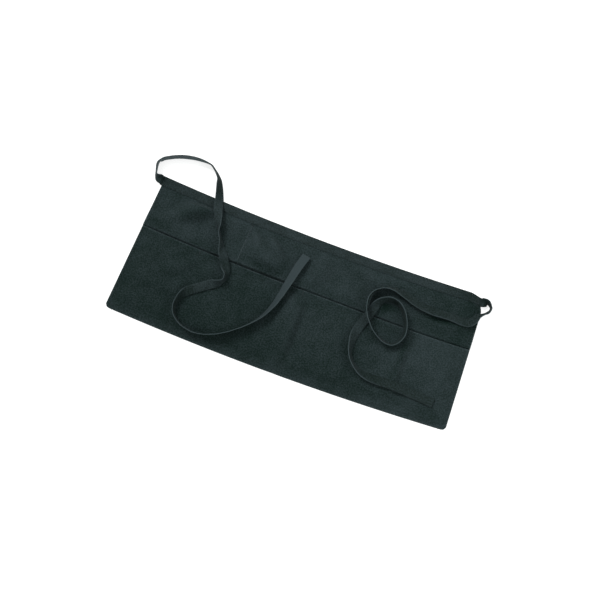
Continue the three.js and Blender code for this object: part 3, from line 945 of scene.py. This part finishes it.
pocket_side = HALF_WIDTH - POCKET_INSET
pocket_foot = BOTTOM + POCKET_INSET
divider_marks = [place + line for place in DIVIDERS for line in SEAM_LINES]
inner_marks = [mark for mark in side_marks if abs(mark) < pocket_side - LINE_ROOM]
pocket_columns = spaced_lines([-pocket_side, *inner_marks, *divider_marks, pocket_side], FINE)
foot_marks = [mark for mark in hem_marks(BOTTOM, 1) if mark > pocket_foot + LINE_ROOM]
mouth_marks = [mouth - MOUTH_STITCH - line for line in SEAM_LINES]
mouth_step = [mouth - MOUTH_HEM - HEM_STEP, mouth - MOUTH_HEM - STEP_LINE, mouth - MOUTH_HEM]
pocket_lines = [pocket_foot, *foot_marks, *mouth_step, *mouth_marks[:-1], mouth - EDGE_LINE, mouth]
pocket_rows = spaced_lines(pocket_lines, FINE)
print("pocket grid:", len(pocket_columns), "by", len(pocket_rows))

# %% The pocket panel
# Painted shade: the cloth darkens towards the pocket's foot, where less light falls
POCKET_LOW_PAINTED_SHADE = 0.08
LOW_DARK_FULL = 0.02
LOW_DARK_END = 0.11
HEM_PALE = 0.12

pocket_s, pocket_v = np.meshgrid(pocket_columns, pocket_rows)
pocket_t = follow_mouth(pocket_s, pocket_v, mouth - MOUTH_HEM - HEM_STEP, mouth)
pocket, row, column = cloth_grid(
    "pocket_cloth", cloth_places(pocket_s, pocket_t, pocket_top(pocket_s, pocket_t)), pocket_s, pocket_t)
from_mouth = mouth_line(pocket_s) - pocket_t
# Pale edges: rubbed side and foot hems, and a painted highlight along the mouth's edge, which catches the
# light
set_wear_and_highlight(pocket, edge_wear_and_highlight(HALF_WIDTH - np.abs(pocket_s), pocket_t - BOTTOM, from_mouth)[row, column])
low_painted_shade = POCKET_LOW_PAINTED_SHADE * (1 - smooth(pocket_t - BOTTOM, LOW_DARK_FULL, LOW_DARK_END))
hem_pale = HEM_PALE * (1 - smooth(pocket_t, BOTTOM + HEM, BOTTOM + 2 * HEM))
pocket_tone_and_shade = tone_along(POCKET_TONE_AND_LIGHT_FALL, pocket_s) + shaded(POCKET_SHADES, pocket_s, pocket_t)
set_tone_and_painted_shade(pocket, (pocket_tone_and_shade - low_painted_shade + hem_pale)[row, column])
single = np.flatnonzero(from_mouth[row, column] > MOUTH_HEM + STEP_LINE / 2)
thicken(pocket, 2 * CLOTH, EDGE_ROUND, -1, single)
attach(pocket, "root")
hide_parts("pocket_panel")
print("pocket panel has", triangle_count(pocket), "triangles")

# %% [markdown]
# ## Waist tape
# A narrow tape is folded over the panel's top edge and sewn through both layers, and its ends run on as the
# ties. It could be a bevelled curve, but a grid whose rows go up the back, round the fold and down the front
# gives the real hairpin section, with the panel between its two sides.

# %% Section of the waist tape
SIDE_ROWS = 10
TURN_ROWS = 7

low_side = BAND_WALL / 2
high_side = BAND_TOP - BAND_WALL / 2
turn_radius = (high_side - low_side) / 2
turn_top = TOP + FOLD_ROOM + BAND_WALL / 2
turn = np.linspace(-math.pi / 2, math.pi / 2, TURN_ROWS)
turn_t = turn_top - turn_radius
turn_z = (low_side + high_side) / 2
flat_side = np.linspace(BAND_FOOT, turn_t, SIDE_ROWS)
band_t = np.concatenate([flat_side, turn_t + turn_radius * np.cos(turn)[1:-1], flat_side[::-1]])
band_z = np.concatenate([
    np.full(SIDE_ROWS, low_side),
    turn_z + turn_radius * np.sin(turn)[1:-1],
    np.full(SIDE_ROWS, high_side),
])
band_run = np.concatenate([[0], np.cumsum(np.hypot(np.diff(band_t), np.diff(band_z)))])
print("waist tape's width before folding, mm:", round(1000 * float(band_run[-1]), 1))

# %% The waist tape
BAND_STEP = 0.0025
BAND_RIPPLE = 0.00025
BAND_RIPPLE_SIZE = 0.012
BAND_GROOVE = 0.0001
BAND_EDGE = 0.0003
BAND_STITCH = 0.0024
BAND_SEED = 71
# Darker towards both ends; at the folded left end it is painted shade
BAND_END_DARKENING = table(Fade, (-0.305, -0.25), (-0.240, 0), (0.200, 0), (0.290, -0.30))

band_columns = spaced_lines([-BAND_END, BAND_END], BAND_STEP)
band_s, band_v = np.meshgrid(band_columns, band_run)
_, rows_t = np.meshgrid(band_columns, band_t)
_, rows_z = np.meshgrid(band_columns, band_z)
on_front = rows_z > turn_z
front_pull = seam_pull(rows_t - BAND_FOOT - BAND_STITCH, band_s, BAND_SEED)
front_wave = BAND_RIPPLE * (1 + soft_noise(band_s, rows_t, BAND_RIPPLE_SIZE, BAND_SEED + 1))
band_height = rows_z + np.where(on_front, np.maximum(front_pull, -BAND_GROOVE) + front_wave, 0)
band, row, column = cloth_grid("waist_tape", cloth_places(band_s, rows_t, band_height), band_s, band_v)
set_tone_and_painted_shade(band, tone_along(BAND_END_DARKENING, band_s)[row, column])
thicken(band, BAND_WALL, BAND_EDGE, 0)
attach(band, "root")
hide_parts("waistband")
print("waist tape has", triangle_count(band), "triangles")

# %% [markdown]
# ## Stitches
# Tonal thread holds it all together: one row along each hem, the mouth, the dividers and the waist tape,
# and short dense bars where a seam ends. A curve with a dashed material would have no relief. One stitch is
# a small sphere drawn out into a bead, and its copies are laid along each row as one joined mesh.

# %% One stitch, drawn out from a small sphere
STITCH_LENGTH = 0.0025
STITCH_PITCH = 0.0031
THREAD = 0.00055
THREAD_PROUD = 0.00012
BEAD_BLUNT = 0.6

bpy.ops.object.select_all(action="DESELECT")
bpy.ops.mesh.primitive_uv_sphere_add(segments=6, ring_count=5, radius=0.5)
pattern = bpy.context.object
bpy.ops.object.mode_set(mode="EDIT")
bpy.ops.mesh.select_all(action="SELECT")
bpy.ops.transform.rotate(value=math.pi / 2, orient_axis="Y", center_override=(0, 0, 0))
bpy.ops.object.mode_set(mode="OBJECT")
bead = np.array([vertex.co for vertex in pattern.data.vertices])
bead[:, 0] = np.sign(bead[:, 0]) * 0.5 * np.abs(2 * bead[:, 0]) ** BEAD_BLUNT
bead_faces = [list(face.vertices) for face in pattern.data.polygons]
bpy.data.objects.remove(pattern)
print("one stitch has", len(bead_faces), "faces")

# %% Rows of stitches
BAR_PITCH = 0.8 * THREAD
BAR_LENGTH = 0.007


def surface_point(s, t, height):
    x, y = laid(s, t)
    return np.stack([x, y, height(s, t)], axis=-1)


def row_points(start, end, height):
    """Pairs of points, one for each stitch of a straight row on the flat cloth."""
    start = np.array(start)
    end = np.array(end)
    count = max(1, int(np.linalg.norm(end - start) / STITCH_PITCH))
    share = (np.arange(count) + 0.5) / count
    half = 0.5 * STITCH_LENGTH / STITCH_PITCH / count
    pairs = []
    for offset in (-half, half):
        place = start + (share + offset)[:, None] * (end - start)
        pairs.append(surface_point(place[:, 0], place[:, 1], height))
    return np.stack(pairs, axis=1)


def mouth_points(start, end):
    count = int((end - start) / STITCH_PITCH)
    middle = start + (np.arange(count) + 0.5) * STITCH_PITCH
    pairs = []
    for offset in (-STITCH_LENGTH / 2, STITCH_LENGTH / 2):
        s = middle + offset
        pairs.append(surface_point(s, mouth_line(s) - MOUTH_STITCH, pocket_top))
    return np.stack(pairs, axis=1)


def bar(s, t, turn, height):
    """A short dense bar of stitches that lie side by side."""
    count = int(BAR_LENGTH / BAR_PITCH)
    along = (np.arange(count) - (count - 1) / 2) * BAR_PITCH
    c, d = math.cos(turn), math.sin(turn)
    pairs = []
    for side in (-0.5, 0.5):
        off = side * STITCH_LENGTH
        pairs.append(surface_point(s + along * c - off * d, t + along * d + off * c, height))
    return np.stack(pairs, axis=1)


def sew(name, rows):
    """One mesh of stitches, a bead laid from the first to the second point of each pair."""
    pairs = np.concatenate(rows)
    middle = pairs.mean(axis=1) + np.array([0, 0, THREAD_PROUD])
    along = pairs[:, 1] - pairs[:, 0]
    length = np.linalg.norm(along, axis=1)[:, None]
    ahead = along / length
    sideways = np.cross([0, 0, 1], ahead)
    sideways /= np.linalg.norm(sideways, axis=1)[:, None]
    rise = np.cross(ahead, sideways)
    points = (
        middle[:, None]
        + bead[None, :, 0, None] * (length * ahead)[:, None]
        + bead[None, :, 1, None] * (THREAD * sideways)[:, None]
        + bead[None, :, 2, None] * (THREAD * rise)[:, None]
    )
    faces = [[index + k * len(bead) for index in face] for k in range(len(pairs)) for face in bead_faces]
    mesh = bpy.data.meshes.new(name)
    mesh.from_pydata(points.reshape(-1, 3).tolist(), [], faces)
    stitches = bpy.data.objects.new(name, mesh)
    bpy.context.scene.collection.objects.link(stitches)
    mesh.shade_smooth()
    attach(stitches, "root")
    print(name, "has", len(pairs), "stitches and", triangle_count(stitches), "triangles")
    return stitches


print("stitches of", 1000 * STITCH_LENGTH, "mm, one each", 1000 * STITCH_PITCH, "mm")

# %% The sewn rows
MOUTH_CLEAR = 0.002
ROW_END = 0.001
BAR_DROP = 0.005
BAND_END_ROWS = (0.002, 0.006)


def band_front(s, t):
    return np.full(np.shape(s), BAND_TOP + BAND_RIPPLE)


hem_side = HALF_WIDTH - HEM_STITCH
hem_foot = BOTTOM + HEM_STITCH
panel_sewn = [
    row_points((SLOT_LINE, SLOT_FOOT), (SLOT_LINE, SLOT_HEAD), panel_top),
    bar(SLOT_LINE, SLOT_HEAD + ROW_END, 0, panel_top),
]
pocket_sewn = [
    row_points((-hem_side, hem_foot), (hem_side, hem_foot), pocket_top),
    mouth_points(-pocket_side, pocket_side),
]
for place in (-hem_side, hem_side):
    lip = float(mouth_line(np.array(place)))
    panel_sewn.append(row_points((place, lip + MOUTH_CLEAR), (place, BAND_FOOT - ROW_END), panel_top))
    pocket_sewn.append(row_points((place, hem_foot), (place, lip - ROW_END), pocket_top))
for place in DIVIDERS:
    lip = float(mouth_line(np.array(place)))
    pocket_sewn.append(row_points((place, hem_foot), (place, lip - ROW_END), pocket_top))
    pocket_sewn.append(bar(place, lip - BAR_DROP, math.pi / 2, pocket_top))
band_row = BAND_FOOT + BAND_STITCH
band_sewn = [row_points((-BAND_END, band_row), (BAND_END, band_row), band_front)]
for side in (-1, 1):
    for inset in BAND_END_ROWS:
        end = side * (BAND_END - inset)
        band_sewn.append(row_points((end, band_row), (end, TOP - ROW_END), band_front))
panel_stitches = sew("panel_stitches", panel_sewn)
pocket_stitches = sew("pocket_stitches", pocket_sewn)
band_stitches = sew("waist_stitches", band_sewn)

# %% [markdown]
# ## Finishes
# The cloth is a dense, slightly faded twill: fine diagonal ribs, a little uneven in colour, matt with a soft
# sheen where it is seen edge on, paler where folded hems rub, and with highlights painted on edges that
# catch the light. An image of cloth would repeat, so the ribs are a wave on the flat cloth's own UV map, at
# their true pitch, and the unevenness is noise.

# %% A material with short ways to add its nodes
SPECK_SCALE = 400
SPECK_ROUGHNESS = 0.75
SPECK_CONTRAST = 6.0
CLOUD_SCALES = (16, 55)
CLOUD_CONTRAST = 3.0


class Finish:
    """A new material. A value given to its functions is a socket or a number."""

    def __init__(self, name):
        self.material = bpy.data.materials.new(name)
        self.material.use_nodes = True
        self.nodes = self.material.node_tree.nodes
        self.links = self.material.node_tree.links
        self.shader = self.nodes["Principled BSDF"].inputs

    def math(self, operation, *values):
        node = self.nodes.new("ShaderNodeMath")
        node.operation = operation
        for socket, value in zip(node.inputs, values):
            if isinstance(value, (int, float)):
                socket.default_value = value
            else:
                self.links.new(value, socket)
        return node.outputs[0]

    def noise(self, place, scale, detail, roughness=0.5):
        node = self.nodes.new("ShaderNodeTexNoise")
        node.inputs["Scale"].default_value = scale
        node.inputs["Detail"].default_value = detail
        node.inputs["Roughness"].default_value = roughness
        self.links.new(place, node.inputs["Vector"])
        return node.outputs["Fac"]

    def kept_number(self, name):
        """A number that the mesh keeps at each point."""
        node = self.nodes.new("ShaderNodeAttribute")
        node.attribute_name = name
        return node.outputs["Fac"]

    def between(self, share, dark, pale):
        """A colour that runs from dark to pale as share goes from 0 to 1. Dark may be a socket."""
        node = self.nodes.new("ShaderNodeMix")
        node.data_type = "RGBA"
        self.links.new(share, node.inputs["Factor"])
        if isinstance(dark, tuple):
            node.inputs["A"].default_value = (*dark, 1)
        else:
            self.links.new(dark, node.inputs["A"])
        node.inputs["B"].default_value = (*pale, 1)
        return node.outputs["Result"]

    def sharpened(self, share, contrast):
        """The share with its differences from a half made larger, kept from 0 to 1."""
        result = self.math("MULTIPLY_ADD", self.math("SUBTRACT", share, 0.5), contrast, 0.5)
        result.node.use_clamp = True
        return result

    def mottled(self, flat):
        """Uneven tone of dyed yarns: specks, and broad clouds, as two shares from 0 to 1."""
        specks = self.noise(flat, SPECK_SCALE, 2, SPECK_ROUGHNESS)
        clouds = self.math("ADD", *[self.noise(flat, scale, 1) for scale in CLOUD_SCALES])
        half = self.math("MULTIPLY", clouds, 0.5)
        return self.sharpened(specks, SPECK_CONTRAST), self.sharpened(half, CLOUD_CONTRAST)

    def tone(self, *parts):
        """The sum of shares times their weights, moved by the tone kept at that place, with its painted
        shade and light.
        """
        # This kept number holds the cloth's tone, with painted shade and painted light
        total = self.kept_number("fade")
        for share, weight in parts:
            total = self.math("MULTIPLY_ADD", share, weight, total)
        return total

    def ribs(self, turns):
        return self.math("MULTIPLY_ADD", self.math("SINE", turns), 0.5, 0.5)

    def flat_cloth(self):
        """Places on the flat cloth, in metres, from the UV map: the pair, and each of its two lengths."""
        node = self.nodes.new("ShaderNodeUVMap")
        node.uv_map = "cloth"
        parts = self.nodes.new("ShaderNodeSeparateXYZ")
        self.links.new(node.outputs["UV"], parts.inputs["Vector"])
        return node.outputs["UV"], parts.outputs["X"], parts.outputs["Y"]

    def bump(self, height, distance, strength):
        node = self.nodes.new("ShaderNodeBump")
        node.inputs["Strength"].default_value = strength
        node.inputs["Distance"].default_value = distance
        self.links.new(height, node.inputs["Height"])
        self.links.new(node.outputs["Normal"], self.shader["Normal"])

    def set_sockets(self, values):
        """Links or sets inputs of the shader by their names."""
        for name, value in values.items():
            if isinstance(value, bpy.types.NodeSocket):
                self.links.new(value, self.shader[name])
            else:
                self.shader[name].default_value = value


print("specks of about", round(1000 / SPECK_SCALE, 1), "mm")

# %% Twill
TWILL_PITCH = 0.0009
TWILL_STEEPNESS = 1.7
TWILL_DARK = (0.0005, 0.0056, 0.0040)
TWILL_PALE = (0.0204, 0.0293, 0.0322)
TWILL_RUBBED_AND_LIT = (0.034, 0.047, 0.051)
WANDER_SCALE = 900
WANDER_TURNS = 3.0
YARN_SCALE = 2200
YARN_SHARE = 0.8
TWILL_WEIGHTS = (0.10, 0.60, 0.30)  # of the ribs, the specks and the clouds in the tone
TWILL_RELIEF = 0.00016
WEAVE_STRENGTH = 0.7
PALE_EDGE_LEAST = 0.3
PALE_EDGE_SPECKS = 0.6


def twill_finish():
    finish = Finish("dark_twill")
    flat, u, v = finish.flat_cloth()
    slant = finish.math("MULTIPLY_ADD", u, TWILL_STEEPNESS, v)
    turns = finish.math("MULTIPLY", slant, 2 * math.pi / TWILL_PITCH)
    wander = finish.noise(flat, WANDER_SCALE, 2)
    rib = finish.ribs(finish.math("MULTIPLY_ADD", wander, WANDER_TURNS, turns))
    mottle, cloud = finish.mottled(flat)
    tone = finish.tone(*zip((rib, mottle, cloud), TWILL_WEIGHTS))
    cloth = finish.between(tone, TWILL_DARK, TWILL_PALE)
    # Pale edges: rubbed hems, and painted highlights on the slot seam and the pocket mouth, where edges
    # catch the light
    patchy = finish.math("MULTIPLY_ADD", mottle, PALE_EDGE_SPECKS, PALE_EDGE_LEAST)
    rub_and_highlight = finish.math("MULTIPLY", finish.kept_number("wear_and_highlight"), patchy)
    finish.set_sockets({
        "Base Color": finish.between(rub_and_highlight, cloth, TWILL_RUBBED_AND_LIT),
        "Roughness": finish.math("MULTIPLY_ADD", mottle, 0.12, 0.80),
        "Specular IOR Level": 0.10,
        "Sheen Weight": 0.03,
        "Sheen Roughness": 0.45,
        "Sheen Tint": (0.72, 0.86, 0.90, 1),
    })
    yarn = finish.noise(flat, YARN_SCALE, 2)
    finish.bump(finish.math("MULTIPLY_ADD", yarn, YARN_SHARE, rib), TWILL_RELIEF, WEAVE_STRENGTH)
    return finish.material


twill = twill_finish()
for sheet in (panel, pocket):
    sheet.data.materials.clear()
    sheet.data.materials.append(twill)
print("twill on", panel.name, "and", pocket.name)

# %% [markdown]
# The tape is a woven herringbone: its ribs slant one way on one half of its width and the other way on the
# other. The absolute distance from its middle line gives that mirror at once.

# %% Tape
TAPE_PITCH = 0.0011
TAPE_DARK = (0.0008, 0.0051, 0.0038)
TAPE_PALE = (0.0196, 0.0286, 0.0315)
TAPE_EDGE_HIGHLIGHT = (0.026, 0.038, 0.041)
TAPE_WEIGHTS = (0.12, 0.60, 0.28)
TAPE_RELIEF = 0.00018


def tape_finish():
    finish = Finish("herringbone_tape")
    flat, u, v = finish.flat_cloth()
    slant = finish.math("ADD", u, finish.math("ABSOLUTE", v))
    rib = finish.ribs(finish.math("MULTIPLY", slant, 2 * math.pi / TAPE_PITCH))
    mottle, cloud = finish.mottled(flat)
    tone = finish.tone(*zip((rib, mottle, cloud), TAPE_WEIGHTS))
    body = finish.between(tone, TAPE_DARK, TAPE_PALE)
    finish.set_sockets({
        # Pale edges of the ties: a painted highlight on edges that stand up
        "Base Color": finish.between(finish.kept_number("wear_and_highlight"), body, TAPE_EDGE_HIGHLIGHT),
        "Roughness": finish.math("MULTIPLY_ADD", mottle, 0.14, 0.72),
        "Specular IOR Level": 0.12,
        "Sheen Weight": 0.02,
        "Sheen Roughness": 0.40,
        "Sheen Tint": (0.78, 0.86, 0.92, 1),
    })
    finish.bump(rib, TAPE_RELIEF, WEAVE_STRENGTH)
    return finish.material


tape = tape_finish()
for piece in (band, tie_left, tie_right):
    piece.data.materials.clear()
    piece.data.materials.append(tape)
print("tape on the waist and the two ties")

# %% Thread
THREAD_DARK = (0.004, 0.008, 0.008)
THREAD_PALE = (0.014, 0.022, 0.023)
TWIST_SCALE = 3200
TWIST_RELIEF = 0.0001
TWIST_STRENGTH = 0.5


def thread_finish():
    finish = Finish("tonal_thread")
    twist = finish.noise(finish.nodes.new("ShaderNodeTexCoord").outputs["Object"], TWIST_SCALE, 1)
    finish.set_sockets({
        "Base Color": finish.between(twist, THREAD_DARK, THREAD_PALE),
        "Roughness": 0.70,
        "Specular IOR Level": 0.16,
    })
    finish.bump(twist, TWIST_RELIEF, TWIST_STRENGTH)
    return finish.material


thread = thread_finish()
thread_pieces = (panel_stitches, pocket_stitches, band_stitches)
for stitches in thread_pieces:
    stitches.data.materials.append(thread)
print("thread on", len(thread_pieces), "sets of stitches")

# %% [markdown]
# ## Table and light
# The picture has a bare white ground and soft light from all round, stronger from the upper left. A glowing
# pale floor and a bright sky give most of it. One large lamp far off at the left makes the soft shadows, and
# a small weak one at the right keeps them open. A single lamp alone would leave the dark cloth without form.

# %% Floor
FLOOR_SIZE = 60.0
FLOOR_DROP = 0.0003
FLOOR_PALE = (0.42, 0.42, 0.42)
FLOOR_SOFT = (0.39, 0.39, 0.39)
FLOOR_GLOW = 0.72
PATCH_SCALE = 3


def floor_finish():
    finish = Finish("pale_floor")
    patch = finish.noise(finish.nodes.new("ShaderNodeTexCoord").outputs["Object"], PATCH_SCALE, 2)
    finish.set_sockets({
        "Base Color": finish.between(patch, FLOOR_SOFT, FLOOR_PALE),
        "Roughness": 0.9,
        "Specular IOR Level": 0.1,
        "Emission Color": (1, 1, 1, 1),
        "Emission Strength": FLOOR_GLOW,
    })
    return finish.material


bpy.ops.object.select_all(action="DESELECT")
bpy.ops.mesh.primitive_plane_add(size=FLOOR_SIZE)
floor = bpy.context.object
floor.name = "floor"
floor.data.transform(floor.matrix_world)
bpy.ops.object.mode_set(mode="EDIT")
bpy.ops.mesh.select_all(action="SELECT")
bpy.ops.transform.translate(value=(0, 0, -FLOOR_DROP))
bpy.ops.object.mode_set(mode="OBJECT")
floor.data.materials.append(floor_finish())
print("floor is", FLOOR_SIZE, "m wide")

# %% Light
KEY_FROM = math.radians(152)
KEY_HEIGHT = math.radians(46)
KEY_DISTANCE = 12.0
KEY_SIZE = 4.0
KEY_WATTS = 1380
FILL_PLACE = Vector((0.95, -0.10, 0.80))
FILL_SIZE = 0.7
FILL_WATTS = 6
SKY = (0.95, 1.0, 0.98)
SKY_STRENGTH = 0.84


def soft_lamp(name, place, size, watts):
    bpy.ops.object.select_all(action="DESELECT")
    bpy.ops.object.light_add(type="AREA", location=place, rotation=place.to_track_quat("Z", "Y").to_euler())
    lamp = bpy.context.object
    lamp.name = name
    lamp.data.size = size
    lamp.data.energy = watts
    return lamp


key_place = KEY_DISTANCE * Vector((
    math.cos(KEY_FROM) * math.cos(KEY_HEIGHT),
    math.sin(KEY_FROM) * math.cos(KEY_HEIGHT),
    math.sin(KEY_HEIGHT),
))
soft_lamp("key_lamp", key_place, KEY_SIZE, KEY_WATTS)
soft_lamp("fill_lamp", FILL_PLACE, FILL_SIZE, FILL_WATTS)
sky = bpy.data.worlds.new("bright_room")
sky.use_nodes = True
sky.node_tree.nodes["Background"].inputs["Color"].default_value = (*SKY, 1)
sky.node_tree.nodes["Background"].inputs["Strength"].default_value = SKY_STRENGTH
bpy.context.scene.world = sky
bpy.context.scene.view_settings.view_transform = "Standard"
